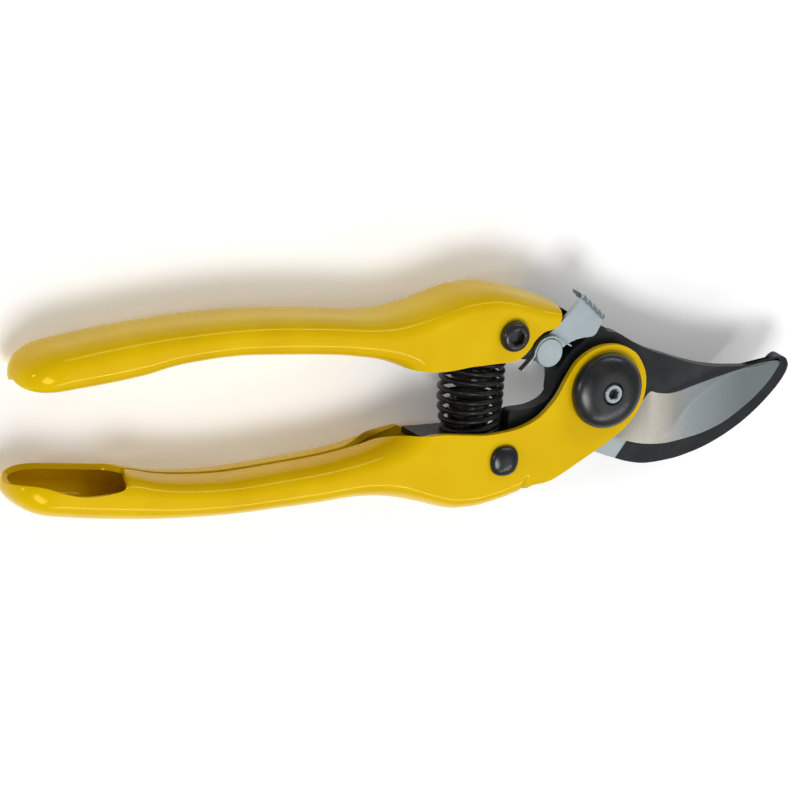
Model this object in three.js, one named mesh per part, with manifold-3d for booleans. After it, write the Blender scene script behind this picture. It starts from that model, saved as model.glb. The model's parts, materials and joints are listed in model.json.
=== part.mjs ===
// Bypass pruning shears: two folded sheet handles, a cutting blade riveted to the lower one,
// a hooked counter blade bolted to the upper one, a coil spring between them and a thumb latch.
// Millimetres, +Z along the pivot towards the nut, +X towards the blade tip. The origin is on the
// pivot axis, at the outer face of the pivot bolt's head.
import * as THREE from 'three';
import { mergeVertices } from 'three/addons/utils/BufferGeometryUtils.js';
import { ParametricGeometry } from 'three/addons/geometries/ParametricGeometry.js';
import Module from 'manifold-3d';

const wasm = await Module();
wasm.setup();

// ---------------------------------------------------------------- driving dimensions
const GAP = 0.3;                    // clearance between touching pieces
const RUNNING = 0.05;               // radial clearance of a shaft in its hole
const WALL = 1.4;                   // coated sheet of the handles
const CHANNEL = 14;                 // clear width between a handle's two walls
const HEAD = 1.8;                   // height of a bolt or rivet head
const BACK = HEAD + 0.2;            // outer face of the back walls
const FRONT = BACK + 2 * WALL + CHANNEL;          // outer face of the front walls
const MIDDLE = (BACK + FRONT) / 2;  // half-way plane of the handles

// The stack on the pivot, from the back wall to the front wall
const SPACER = [BACK + WALL + GAP, 6.3];
const SPRING_WASHER = [SPACER[1] + GAP, 7.7];
const COUNTER = [SPRING_WASHER[1] + GAP, 12];
const BLADE = [COUNTER[1] + GAP, 15.7];
const PLATE = [BLADE[1] + GAP, FRONT - WALL - GAP];   // level of the front washer and the latch

const BOLT_RADIUS = 4;
const BOLT_HEAD = 5;                // radius of the pivot bolt's head
const BUSH_RADIUS = BOLT_RADIUS + 1.3;
const STUD_RADIUS = 2;              // thin end of the bolt, through the dome nut
const SHANK = 2.2;                  // radius of the rivet's and the tang bolt's shank
const PIN_RADIUS = 1.6;             // radius of the latch pin's shank
const TUBE_RADIUS = 3;              // outer radius of the spacer tubes
const RING_RADIUS = 10.9;           // end of the lower handle's walls, round the pivot
const NUT_RADIUS = 8.75;
const FASTENER = [-25, 14.6];       // rivet and tang bolt, below and above the middle line
const BELOW = [FASTENER[0], -FASTENER[1]];
const LATCH_PIN = [-15.2, 9.7];
const SPRING_X = -30;
const SPRING_RADIUS = 6.1;          // to the middle of the wire, at the spring's ends
const SPRING_SWELL = 0.8;           // how much wider the spring is half-way
const WIRE = 0.6;                   // radius of the spring's wire
const SPRING_TURNS = 9;
const SPRING_END = 9.2;             // each way from the middle line
const GRIP_END = -148;
const SCOOP = [-143.5, -119];       // open end of a grip
const MOUTH = -50;                  // where the folded grip opens into a channel
const SPINE_END = -19;              // where the spine wall stops and the fork begins
const BACK_END = -17;               // where the lower handle's back wall stops, short of the pivot
const THROUGH = [0, 30];            // a span longer than the stack, for holes
const ROUND = 32;                   // sides of a large round piece

// ---------------------------------------------------------------- tools
function solid(geometry) {
  const bare = geometry.clone();
  bare.deleteAttribute('normal');
  bare.deleteAttribute('uv');
  const merged = mergeVertices(bare, 1e-4);
  return new wasm.Manifold(new wasm.Mesh({
    numProp: 3,
    vertProperties: new Float32Array(merged.attributes.position.array),
    triVerts: new Uint32Array(merged.index.array),
  }));
}

function surface(manifold) {
  const mesh = manifold.getMesh();
  const geometry = new THREE.BufferGeometry();
  geometry.setAttribute('position', new THREE.BufferAttribute(mesh.vertProperties, 3));
  geometry.setIndex(new THREE.BufferAttribute(mesh.triVerts, 1));
  geometry.computeVertexNormals();
  return geometry;
}

function plate(shape, [low, high], steps = 6) {
  const geometry = new THREE.ExtrudeGeometry(shape, {
    depth: high - low, bevelEnabled: false, curveSegments: steps,
  });
  return solid(geometry.translate(0, 0, low));
}

function disc(radius, [low, high], [x, y] = [0, 0], sides = ROUND) {
  const geometry = new THREE.CylinderGeometry(radius, radius, high - low, sides);
  geometry.rotateX(Math.PI / 2);
  return solid(geometry.translate(x, y, (low + high) / 2));
}

function turned(profile, [x, y] = [0, 0], sides = ROUND) {
  const points = profile.map(([radius, z]) => new THREE.Vector2(radius, z));
  const geometry = new THREE.LatheGeometry(points, sides);
  geometry.rotateX(Math.PI / 2);
  return solid(geometry.translate(x, y, 0));
}

function block([x0, x1], [y0, y1], [z0, z1]) {
  const geometry = new THREE.BoxGeometry(x1 - x0, y1 - y0, z1 - z0);
  return solid(geometry.translate((x0 + x1) / 2, (y0 + y1) / 2, (z0 + z1) / 2));
}

function washer(outer, inner, span, place, sides = ROUND) {
  return disc(outer, span, place, sides).subtract(disc(inner, [span[0] - 1, span[1] + 1], place, sides));
}

const vectors = (points) => points.map(([x, y]) => new THREE.Vector2(x, y));

// A curve y(x) through a few points, read at any x
function profile(points) {
  const curve = new THREE.SplineCurve(vectors(points));
  const samples = curve.getPoints(points.length * 8);
  return (x) => {
    const last = samples.length - 1;
    const k = Math.min(Math.max(samples.findIndex((point) => point.x >= x), 1), last);
    const [from, to] = [samples[k - 1], samples[k]];
    const t = THREE.MathUtils.clamp((x - from.x) / (to.x - from.x), 0, 1);
    return THREE.MathUtils.lerp(from.y, to.y, t);
  };
}

// ---------------------------------------------------------------- handles
// Distance from the middle line to the spine and to the inner face of a grip
const spine = profile([[-148, 18.2], [-140, 19.6], [-128, 21.2], [-115, 22.4], [-100, 23], [-86, 22.8],
  [-72, 21.7], [-60, 20.4], [-52, 20.6], [-44, 22.2], [-36, 24.4], [-30, 24.8], [-22, 23.3], [-10, 19.6],
  [0, 15]]);
const inner = profile([[-148, 8.8], [-144, 8.9], [-138, 9.2], [-126, 10.2], [-118, 11.2], [-111, 12.7],
  [-104, 13.5], [-94, 13.9], [-82, 13.2], [-68, 12], [-56, 9.8], [-44, 6], [-34, 5], [0, 5]]);

// Superellipse sections along X between the spine and the inner face, less an inset all round
function gripLoft(side, inset, [from, to], around = 20) {
  const along = 26;
  const tip = 10;                   // length of the rounded end
  const blunt = 2.4;                // 2 would be a plain ellipse
  const point = (u, v, target) => {
    const x = THREE.MathUtils.lerp(from, to, 0.5 - 0.5 * Math.cos(Math.PI * v));
    const closed = v < 1e-6 || v > 1 - 1e-6;
    const reach = THREE.MathUtils.clamp((x - from) / tip, 0, 1);
    const rounding = closed ? 0 : (1 - (1 - reach) ** blunt) ** (1 / blunt);
    const depth = ((spine(x) - inner(x)) / 2 - inset) * rounding;
    const half = ((FRONT - BACK) / 2 - inset) * rounding;
    const power = 2 / THREE.MathUtils.lerp(3, 4.5, THREE.MathUtils.smoothstep(x, -60, -35));
    const angle = 2 * Math.PI * (u % 1);
    const bend = (value) => Math.sign(value) * Math.abs(value) ** power;
    const y = (spine(x) + inner(x)) / 2 + depth * bend(Math.cos(angle));
    target.set(x, side * y, MIDDLE + side * half * bend(Math.sin(angle)));
  };
  return solid(new ParametricGeometry(point, around, along));
}

// The part of a handle beyond the folded grip is cut to this outline
function upperOutline() {
  const shape = new THREE.Shape();
  shape.moveTo(GRIP_END - 2, 30);
  shape.lineTo(GRIP_END - 2, 4);
  shape.lineTo(-62, 4);
  shape.splineThru(vectors([[-54, 9.2], [-48, 7.2], [-42, 6.6], [-35, 7.2], [-23.5, 7.6]]));
  shape.lineTo(-20, 10.4);
  shape.absarc(LATCH_PIN[0], LATCH_PIN[1], 4.6, 2.6, 1.35, true);
  shape.splineThru(vectors([[-13, 16], [-12.4, 18.4], [-11.2, 30]]));
  return shape;
}

function lowerOutline() {
  const shape = new THREE.Shape();
  shape.moveTo(GRIP_END - 2, -30);
  shape.lineTo(-20, -30);
  shape.lineTo(-12, -20.4);
  shape.splineThru(vectors([[-4, -16], [4, -11]]));
  shape.absarc(0, 0, RING_RADIUS, -0.93, 2.75, false);
  shape.splineThru(vectors([[-11.8, 1], [-13.6, -1.6], [-17, -4.8], [-22, -6.8], [-29, -7.6], [-36, -7.2],
    [-42, -6.2], [-48, -6.8], [-54, -9.2], [-62, -4]]));
  shape.lineTo(GRIP_END - 2, -4);
  return shape;
}

function handle(side, outline) {
  const backWall = [BACK, BACK + WALL];
  const frontWall = [FRONT - WALL, FRONT];
  let body = gripLoft(side, 0, [GRIP_END, 6]).intersect(plate(outline, [-5, 30]));
  for (const span of [backWall, frontWall]) {
    const fork = block([-40, 20], flipSpan([-12, 20], side), span);
    body = body.add(plate(outline, span).intersect(fork).intersect(underSpine(side, span)));
  }
  body = body.subtract(gripLoft(side, WALL, [GRIP_END + WALL, 6 - WALL], 16));
  const clear = [BACK + WALL, FRONT - WALL];
  body = body.subtract(block([MOUTH, 20], flipSpan([-12, 12], side), clear));
  body = body.subtract(block([SPINE_END, 20], flipSpan([-12, 30], side), clear));
  body = body.subtract(scoopCut(side));
  // Behind the spring the back wall is cut lower than the front one
  const behind = [BACK - 1, BACK + WALL + 0.1];
  body = body.subtract(block([MOUTH, side < 0 ? BACK_END : -24], flipSpan([4, 10.8], side), behind));
  if (side < 0) {
    body = body.subtract(block([BACK_END, 20], flipSpan([-12, 30], side), behind));
  }
  const seam = [MIDDLE - 0.4, MIDDLE + 0.4];
  const seamCut = block([SCOOP[1] - 2, MOUTH + 2], flipSpan([5, 16], side), seam);
  return body.subtract(seamCut);
}

function flipSpan([low, high], side) {
  return side > 0 ? [low, high] : [-high, -low];
}

// Everything on the pivot's side of the spine, so that the fork stays inside it
function underSpine(side, span) {
  const shape = new THREE.Shape();
  shape.moveTo(-60, -side * 14);
  for (let x = -60; x <= -12; x += 4) {
    shape.lineTo(x, side * (spine(x) - 2));
  }
  shape.lineTo(-10, side * 19.4);
  shape.lineTo(20, side * 19.4);
  shape.lineTo(20, -side * 14);
  return plate(shape, span);
}

// The spoon-shaped opening on the inner side of the grip's end
function scoopCut(side) {
  const half = CHANNEL / 2 - 0.6;
  const shape = new THREE.Shape();
  shape.absarc(SCOOP[0] + half, MIDDLE, half, Math.PI / 2, 1.5 * Math.PI, false);
  shape.absarc(SCOOP[1] - 3, MIDDLE - half + 3, 3, -Math.PI / 2, 0, false);
  shape.absarc(SCOOP[1] - 3, MIDDLE + half - 3, 3, 0, Math.PI / 2, false);
  const depth = 14;
  const geometry = new THREE.ExtrudeGeometry(shape, { depth, bevelEnabled: false, curveSegments: 6 });
  geometry.rotateX(Math.PI / 2);    // the shape's y becomes z, its depth runs towards -y
  geometry.translate(0, side > 0 ? depth : 0, 0);
  return solid(geometry);
}

// ---------------------------------------------------------------- blades
const bladeSpine = profile([[2, 13], [8.6, 9.4], [17.5, 5.6], [24.5, 3.2], [31, 1.7], [38, 1], [45, 1.2],
  [47.8, 2.1], [49.4, 0.4]]);
const bladeGrind = profile([[4, -11], [14, -2.8], [19, -3.7], [26.8, -2.8], [33, -0.4], [38, 0.7],
  [45, 0.9], [47.8, 1.7], [49.4, 0.2]]);
const bladeEdge = profile([[2, -12.4], [8.3, -14], [14, -15.7], [20.9, -16.2], [30, -14.9], [36.4, -12.3],
  [41.8, -8.6], [46.3, -4.4], [49.4, 0]]);

const BLANK_START = 3;              // where the ground part of the blade begins
const BLADE_TIP = 49.4;

// A hollow-ground blade: flat on the back, thinned on the front from the grind line to the edge
function bladeBlank() {
  const across = 5;
  const along = 26;
  const land = 0.3;                 // thickness left along the edge
  const point = (u, v, target) => {
    const x = THREE.MathUtils.lerp(BLANK_START, BLADE_TIP, v);
    const corners = [[bladeSpine(x), BLADE[1]], [bladeGrind(x), BLADE[1]], [bladeEdge(x), BLADE[0] + land],
      [bladeEdge(x), BLADE[0]], [bladeSpine(x), BLADE[0]]];
    const [y, z] = corners[Math.round(u * across) % across];
    target.set(x, y, z);
  };
  const skin = new ParametricGeometry(point, across, along);
  return capped(skin, across, along);
}

// Closes a tube of sections with a fan over its first and last one
function capped(geometry, across, along) {
  const index = Array.from(geometry.index.array);
  const row = across + 1;
  const last = along * row;
  for (let k = 1; k < across - 1; k += 1) {
    index.push(0, k + 1, k);
    index.push(last, last + k, last + k + 1);
  }
  const closed = geometry.clone();
  closed.setIndex(index);
  return solid(closed);
}

function bladeBody() {
  const shape = new THREE.Shape();
  const joint = BLANK_START + 0.3;  // the body overlaps the ground part by this much
  shape.moveTo(joint, -11.6);
  shape.lineTo(joint, 12);
  shape.lineTo(1.6, 12.4);
  shape.lineTo(0.6, 13.6);
  shape.lineTo(-1.6, 13.4);
  shape.absarc(0, 0, 11.4, 1.85, 3.2, false);
  shape.splineThru(vectors([[-13, -2.6], [-16.4, -4], [-22.6, -4.4]]));
  shape.lineTo(-22.8, -11.6);
  shape.lineTo(FASTENER[0], -11.6);
  shape.absarc(FASTENER[0], -FASTENER[1], 3, Math.PI / 2, 1.5 * Math.PI, false);
  shape.splineThru(vectors([[-18, -17.4], [-8, -13]]));
  return plate(shape, BLADE);
}

function cuttingBlade() {
  return bladeBlank().add(bladeBody())
    .subtract(disc(BUSH_RADIUS + RUNNING, THROUGH))
    .subtract(disc(SHANK + RUNNING, THROUGH, BELOW, 16));
}

function counterBlade() {
  const shape = new THREE.Shape();
  shape.moveTo(52, -1.2);
  shape.splineThru(vectors([[50.2, -4.4], [44.5, -10.3], [38.5, -14.6], [31, -18.2], [23.2, -20.2],
    [16.7, -20.7], [8.2, -18.8], [-1, -15.6], [-7.4, -9.6]]));
  shape.absarc(0, 0, 9.6, 4.1, 2.7, true);
  shape.splineThru(vectors([[-11, 5.2], [-17, 6.4], [-22.6, 7]]));
  shape.lineTo(-22.8, 11.6);
  shape.lineTo(FASTENER[0], 11.6);
  shape.absarc(FASTENER[0], FASTENER[1], 3, -Math.PI / 2, -1.5 * Math.PI, true);
  shape.splineThru(vectors([[-20, 18], [-15, 19], [-9, 17.6], [-3, 13.2], [0, 10.2]]));
  shape.absarc(0, 0, 10.2, 1.5, -0.9, true);
  shape.splineThru(vectors([[10.4, -9.8], [15, -13], [21, -14.6], [30, -13], [38, -9.6], [44, -5.2],
    [47.6, -1], [49.4, 1], [51.2, 0.8]]));
  return plate(shape, COUNTER)
    .subtract(disc(BUSH_RADIUS + RUNNING, THROUGH))
    .subtract(disc(SHANK + RUNNING, THROUGH, FASTENER, 16))
    .subtract(disc(PIN_RADIUS + GAP, THROUGH, LATCH_PIN, 16));
}

// ---------------------------------------------------------------- pivot
const NUT_BASE = FRONT + GAP;
const NUT_TOP = NUT_BASE + 3.9;
const SOCKET = 1.1;                 // half the width of the bolt end's hexagon socket

function pivotBolt() {
  const end = NUT_TOP + 0.2;
  return disc(BOLT_HEAD, [0, HEAD]).add(disc(BOLT_RADIUS, [HEAD - 0.1, NUT_BASE - GAP]))
    .add(disc(STUD_RADIUS, [NUT_BASE - 1, end], [0, 0], 16))
    .subtract(disc(SOCKET, [end - 1.6, end + 1], [0, 0], 6));
}

function domeNut() {
  const rim = 1.2;
  const crown = 5;
  const points = [[0, NUT_BASE], [NUT_RADIUS, NUT_BASE], [NUT_RADIUS, NUT_BASE + rim]];
  for (let k = 1; k <= crown; k += 1) {
    const angle = (k / crown) * (Math.PI / 2);
    points.push([NUT_RADIUS * Math.cos(angle) * (k < crown ? 1 : 0),
      NUT_BASE + rim + (NUT_TOP - NUT_BASE - rim) * Math.sin(angle)]);
  }
  return turned(points).subtract(disc(STUD_RADIUS + GAP, THROUGH, [0, 0], 16));
}

// ---------------------------------------------------------------- fasteners of the tangs
function headProfile(radius, low, height) {
  return [[0, low], [radius, low], [radius, low + height * 0.45], [radius * 0.8, low + height * 0.85],
    [radius * 0.45, low + height], [0, low + height]];
}

function bladeRivet(place) {
  const foot = [[0, 0.2], [2.6, 0.2], [3.2, 0.8], [3.2, HEAD - GAP], [0, HEAD - GAP]];
  return turned(headProfile(3.6, FRONT + GAP, 1.8), place, 24)
    .add(disc(SHANK, [1, FRONT + 1], place, 16))
    .add(turned(foot, place, 24));
}

function tangBolt(place) {
  const height = 2.1;
  const top = FRONT + GAP + height;
  return turned(headProfile(3.8, FRONT + GAP, height), place, 24)
    .add(disc(SHANK, [0.4, FRONT + 1], place, 16))
    .subtract(disc(1.9, [top - 1.5, top + 1], place, 6));
}

function tangNut(place) {
  return disc(3.6, [0.3, HEAD - 0.1], place, 6)
    .subtract(disc(SHANK + GAP, THROUGH, place, 16));
}

function spacerTube(span, place) {
  return washer(TUBE_RADIUS, SHANK + GAP, span, place, 20);
}

// ---------------------------------------------------------------- spring
function coilSpring() {
  const steps = SPRING_TURNS * 14;
  const reach = SPRING_END - WIRE;
  const points = [];
  for (let k = 0; k <= steps; k += 1) {
    const t = k / steps;
    const angle = 2 * Math.PI * SPRING_TURNS * t;
    const y = THREE.MathUtils.lerp(-reach, reach, t);
    const radius = SPRING_RADIUS + SPRING_SWELL * Math.sin(Math.PI * t);
    const [across, up] = [radius * Math.cos(angle), radius * Math.sin(angle)];
    points.push(new THREE.Vector3(SPRING_X + across, y, MIDDLE + up));
  }
  const wire = new THREE.Shape();
  wire.absarc(0, 0, WIRE, 0, 2 * Math.PI, false);
  const path = new THREE.CatmullRomCurve3(points);
  const geometry = new THREE.ExtrudeGeometry(wire, {
    steps, extrudePath: path, bevelEnabled: false, curveSegments: 3,
  });
  return solid(geometry);
}

// A plate across the channel under each end of the spring, with a disc and a long peg on it
function springSeat(side) {
  const floor = SPRING_END + GAP;
  const under = floor + 1.6;
  const peg = 1;                    // the peg stops this far from the middle line
  const points = [[0, under], [6.5, under], [6.5, floor], [4.7, floor], [4.5, peg + 0.6], [3.9, peg],
    [0, peg]];
  const lathe = new THREE.LatheGeometry(points.map(([r, y]) => new THREE.Vector2(r, side * y)), 24);
  if (side > 0) {
    lathe.index.array.reverse();    // the profile then runs the other way, which turns the faces
  }
  const sheet = block([-43, -23.4], flipSpan([floor + 0.1, under - 0.1], side), [SPACER[0], PLATE[1]]);
  return solid(lathe.translate(SPRING_X, 0, MIDDLE)).add(sheet);
}

// ---------------------------------------------------------------- latch
const TAB = [[-6.6, 21.2], [-0.8, 16]];       // the outer edge of the latch's fan
const PIN_HEAD = [PLATE[1] + GAP, PLATE[1] + GAP + 1.6];

function latchLever() {
  const shape = new THREE.Shape();
  shape.absarc(LATCH_PIN[0], LATCH_PIN[1], 3, 2.4, 5.2, false);
  shape.splineThru(vectors([[-9, 11.4], [-5.4, 11.9], [-2.4, 12.4]]));
  shape.lineTo(-1.6, 14.6);
  shape.lineTo(TAB[1][0], TAB[1][1]);
  shape.lineTo(TAB[0][0], TAB[0][1]);
  shape.lineTo(-12, 15.6);
  const fold = 5.2;                 // how far the tab is folded back
  const count = 5;                  // ribs on the tab
  const rib = 0.55;
  const [[x0, y0], [x1, y1]] = TAB;
  const length = Math.hypot(x1 - x0, y1 - y0);
  const tab = new THREE.BoxGeometry(length, 2 * rib, fold);
  const teeth = [];
  for (let k = 0; k < count; k += 1) {
    const tooth = new THREE.CylinderGeometry(rib, rib, fold, 8);
    tooth.rotateX(Math.PI / 2);
    teeth.push(tooth.translate(length * ((k + 0.5) / count - 0.5), 0.5, 0));
  }
  const turn = Math.atan2(y1 - y0, x1 - x0);
  const seat = (geometry) => solid(geometry.rotateZ(turn)
    .translate((x0 + x1) / 2, (y0 + y1) / 2, PLATE[1] - fold / 2));
  let lever = plate(shape, PLATE).add(seat(tab));
  for (const tooth of teeth) {
    lever = lever.add(seat(tooth));
  }
  return lever.subtract(disc(PIN_RADIUS + RUNNING, THROUGH, LATCH_PIN, 16));
}

function latchPin() {
  return disc(3.3, PIN_HEAD, LATCH_PIN, 28)
    .add(disc(PIN_RADIUS, [COUNTER[0] - 1.9, PIN_HEAD[0] + 0.1], LATCH_PIN, 16));
}

function latchStrip() {
  const route = [[-22.2, 6.1], [-19.4, 9], [-18.7, 11.2], [-17.4, 12.9], [-15.2, 13.5], [-13, 12.9],
    [-9.8, 11]];
  const curve = new THREE.SplineCurve(vectors(route));
  const half = 0.2;                 // half the strip's thickness
  const edge = (offset) => curve.getPoints(18).map((point, k, all) => {
    const along = curve.getTangent(k / (all.length - 1));
    return new THREE.Vector2(point.x - along.y * offset, point.y + along.x * offset);
  });
  const shape = new THREE.Shape([...edge(half), ...edge(-half).reverse()]);
  return plate(shape, [FRONT - WALL + 0.1, FRONT + 0.4]);
}

// ---------------------------------------------------------------- materials and assembly
const finish = {
  yellow: { color: 0xe0be0c, roughness: 0.25, metalness: 0 },
  black: { color: 0x23282a, roughness: 0.4, metalness: 0.6 },
  steel: { color: 0xb4b2a6, roughness: 0.3, metalness: 1 },
  zinc: { color: 0xa5b2b6, roughness: 0.3, metalness: 1 },
  spring: { color: 0x14140f, roughness: 0.45, metalness: 0.6 },
  brass: { color: 0xb08d4a, roughness: 0.4, metalness: 1 },
};

const shears = new THREE.Group();

function place(name, manifold, look) {
  const mesh = new THREE.Mesh(surface(manifold), new THREE.MeshStandardMaterial(finish[look]));
  mesh.name = name;
  shears.add(mesh);
}

const shankHole = (at) => disc(SHANK + GAP, THROUGH, at, 16);
place('lower_handle_shell', handle(-1, lowerOutline())
  .subtract(disc(BOLT_RADIUS + RUNNING, THROUGH)).subtract(shankHole(BELOW)), 'yellow');
place('upper_handle_shell', handle(1, upperOutline()).subtract(shankHole(FASTENER)), 'yellow');
place('cutting_blade', cuttingBlade(), 'steel');
place('counter_blade', counterBlade(), 'black');
place('pivot_bolt', pivotBolt(), 'zinc');
place('pivot_dome_nut', domeNut(), 'black');
place('pivot_bush', washer(BUSH_RADIUS, BOLT_RADIUS + RUNNING, [COUNTER[0], BLADE[1]]), 'brass');
place('pivot_front_washer', washer(8.5, BOLT_RADIUS + RUNNING, PLATE), 'zinc');
place('pivot_spring_washer', washer(7.4, BOLT_RADIUS + RUNNING, SPRING_WASHER), 'zinc');
place('pivot_back_spacer', washer(5.6, BOLT_RADIUS + RUNNING, [HEAD + GAP, SPACER[1]]), 'zinc');
place('blade_rivet', bladeRivet(BELOW), 'black');
place('blade_rivet_back_spacer', spacerTube([BACK + WALL + GAP, BLADE[0] - GAP], BELOW), 'zinc');
place('blade_rivet_front_spacer', spacerTube(PLATE, BELOW), 'zinc');
place('tang_bolt', tangBolt(FASTENER), 'black');
place('tang_bolt_nut', tangNut(FASTENER), 'black');
place('tang_bolt_back_spacer', spacerTube([BACK + WALL + GAP, COUNTER[0] - GAP], FASTENER), 'zinc');
place('tang_bolt_front_spacer', spacerTube([COUNTER[1] + GAP, PLATE[1]], FASTENER), 'zinc');
place('coil_spring', coilSpring(), 'spring');
place('lower_spring_seat', springSeat(-1), 'black');
place('upper_spring_seat', springSeat(1), 'black');
place('latch_lever', latchLever(), 'zinc');
place('latch_pin', latchPin(), 'zinc');
const onPin = (clearance, span) => washer(2.6, PIN_RADIUS + clearance, span, LATCH_PIN, 20);
place('latch_spacer', onPin(GAP, [COUNTER[1] + GAP, BLADE[1]]), 'zinc');
place('latch_pin_clip', onPin(RUNNING, [COUNTER[0] - 1.2, COUNTER[0] - GAP]), 'zinc');
place('latch_spring_strip', latchStrip(), 'zinc');

export default shears;
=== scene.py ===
# %% [markdown]
# # Pruning shears
# A pair of bypass pruning shears: two handles folded from sheet steel and dipped in a thick yellow
# coating, a ground blade that passes a hooked counter blade, a coil spring and a thumb latch.
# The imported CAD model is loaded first. It fixes every size and place, and each fine surface made here
# stands for one of its nodes.

# %% Load the frame
import json
import math

import bmesh
import bpy
import numpy as np
from mathutils import Matrix, Vector


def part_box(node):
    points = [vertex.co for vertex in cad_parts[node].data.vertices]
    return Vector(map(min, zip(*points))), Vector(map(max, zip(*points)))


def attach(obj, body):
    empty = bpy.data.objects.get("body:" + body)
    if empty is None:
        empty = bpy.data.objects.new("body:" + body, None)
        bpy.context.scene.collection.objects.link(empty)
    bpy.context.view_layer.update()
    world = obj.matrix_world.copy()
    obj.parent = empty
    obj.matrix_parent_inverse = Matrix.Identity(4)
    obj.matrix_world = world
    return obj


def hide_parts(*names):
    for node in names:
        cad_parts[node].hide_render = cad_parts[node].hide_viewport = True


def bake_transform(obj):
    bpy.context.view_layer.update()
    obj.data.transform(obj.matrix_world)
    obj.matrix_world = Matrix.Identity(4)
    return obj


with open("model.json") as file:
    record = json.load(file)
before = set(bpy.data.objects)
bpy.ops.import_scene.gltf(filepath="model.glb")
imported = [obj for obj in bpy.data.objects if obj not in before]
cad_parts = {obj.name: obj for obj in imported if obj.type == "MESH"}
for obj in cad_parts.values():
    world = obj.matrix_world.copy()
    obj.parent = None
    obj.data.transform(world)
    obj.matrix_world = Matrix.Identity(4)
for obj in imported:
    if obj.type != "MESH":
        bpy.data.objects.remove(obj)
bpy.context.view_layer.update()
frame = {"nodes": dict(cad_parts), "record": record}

# %% [markdown]
# ## Sizes
# The plan outlines are written in millimetres, as on a drawing, and turned into metres by the functions
# that build the meshes. The levels along the pivot and the places of the fasteners are read from the CAD
# nodes, so the fine pieces sit exactly where the plain ones do.

# %% Levels and places from the CAD nodes
MM = 0.001


def level(node):
    """Lowest and highest Z of a CAD node, in millimetres."""
    low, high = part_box(node)
    return low.z / MM, high.z / MM


def plan_middle(node):
    """Middle of a CAD node's box as seen from above, in millimetres."""
    low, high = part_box(node)
    return (low.x + high.x) / 2 / MM, (low.y + high.y) / 2 / MM


BACK, FRONT = level("lower_handle_shell")
MIDDLE = (BACK + FRONT) / 2
HALF = (FRONT - BACK) / 2
WALL = 1.4                          # thickness of a handle's sheet with its coating
BLADE = level("cutting_blade")
COUNTER = level("counter_blade")
PLATE = level("pivot_front_washer")
NUT = level("pivot_dome_nut")
RIVET = plan_middle("blade_rivet_back_spacer")
TANG_BOLT = plan_middle("tang_bolt_back_spacer")
LATCH_PIN = plan_middle("latch_spacer")
print(f"handles {BACK:.1f} to {FRONT:.1f} mm, blade {BLADE}, counter blade {COUNTER}, nut {NUT}")
print(f"rivet at {RIVET}, tang bolt at {TANG_BOLT}, latch pin at {LATCH_PIN}")

# %% [markdown]
# ## Mesh helpers
# Nearly every piece is a grid of points, computed as one array, and stitched with quads. The columns may
# close into a ring. Other helpers clean the mesh, thicken it or round its edges, and one gives the new
# object its body and the CAD node it stands for.


# %% Grids and adoption
MERGE = 1e-6                        # points closer than this become one, in metres


def grid_faces(rows, columns, close_columns=False):
    """Quads over a rows by columns grid of points, as an array of four indices each."""
    columns_used = columns if close_columns else columns - 1
    r, c = (a.ravel() for a in np.meshgrid(np.arange(rows - 1), np.arange(columns_used), indexing="ij"))
    row, next_row, next_c = r * columns, (r + 1) * columns, (c + 1) % columns
    return np.stack([row + c, row + next_c, next_row + next_c, next_row + c], 1)


def make_object(name, points, faces, finishes, which=None, sharp=35.0):
    """A mesh object from points in millimetres. `which` gives each face's material number."""
    mesh = bpy.data.meshes.new(name)
    mesh.from_pydata((np.asarray(points) * MM).tolist(), [], [tuple(int(i) for i in f) for f in faces])
    for finish in finishes:
        mesh.materials.append(finish)
    if which is not None:
        mesh.polygons.foreach_set("material_index", np.asarray(which, np.int32))
    mesh.polygons.foreach_set("use_smooth", np.ones(len(mesh.polygons), bool))
    made = bpy.data.objects.new(name, mesh)
    bpy.context.scene.collection.objects.link(made)
    tidy_mesh(made, sharp)
    return made


def tidy_mesh(made, sharp):
    """Merges doubled points, points the faces outwards and marks edges sharper than the angle."""
    work = bmesh.new()
    work.from_mesh(made.data)
    bmesh.ops.remove_doubles(work, verts=work.verts, dist=MERGE)
    bmesh.ops.dissolve_degenerate(work, edges=work.edges, dist=MERGE / 10)
    bmesh.ops.recalc_face_normals(work, faces=work.faces)
    work.to_mesh(made.data)
    work.free()
    made.data.set_sharp_from_angle(angle=math.radians(sharp))


def adopt(made, body, slot, *nodes):
    """Rides the piece on its body and lets it stand for its CAD nodes, whose plain meshes it hides. The slot
    is not used.
    """
    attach(made, body)
    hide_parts(*nodes)
    print(f"{made.name}: {len(made.data.polygons)} faces")


def soften(made, width, angle=50):
    """Rounds every edge that turns by more than the angle, over the width given in millimetres."""
    bevel = made.modifiers.new("edges", "BEVEL")
    bevel.width = width * MM
    bevel.segments = 2
    bevel.limit_method = "ANGLE"
    bevel.angle_limit = math.radians(angle)
    return made


def thicken(made, thickness):
    """Gives a surface the wall of a sheet, half on either side of it."""
    wall = made.modifiers.new("sheet", "SOLIDIFY")
    wall.thickness = thickness * MM
    wall.offset = 0
    return wall


# %% [markdown]
# A curve through a few given points is a Catmull-Rom spline: each stretch is a cubic whose slope
# at a point is half the step between its neighbours. It is read at any number of even steps.


# %% Smooth curves through points
FINE = 1200                         # steps on a curve before it is read at other places


def spline(points, count):
    """`count` points along a Catmull-Rom curve through the given ones, at even steps of its parameter."""
    p = np.asarray(points, float)
    p = np.vstack([2 * p[0] - p[1], p, 2 * p[-1] - p[-2]])
    t = np.linspace(0, len(p) - 3, count)
    k = np.clip(t.astype(int), 0, len(p) - 4)
    s = (t - k)[:, None]
    a, b, c, d = p[k], p[k + 1], p[k + 2], p[k + 3]
    return 0.5 * (2 * b + (c - a) * s + (2 * a - 5 * b + 4 * c - d) * s ** 2
                  + (3 * b - a - 3 * c + d) * s ** 3)


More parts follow.
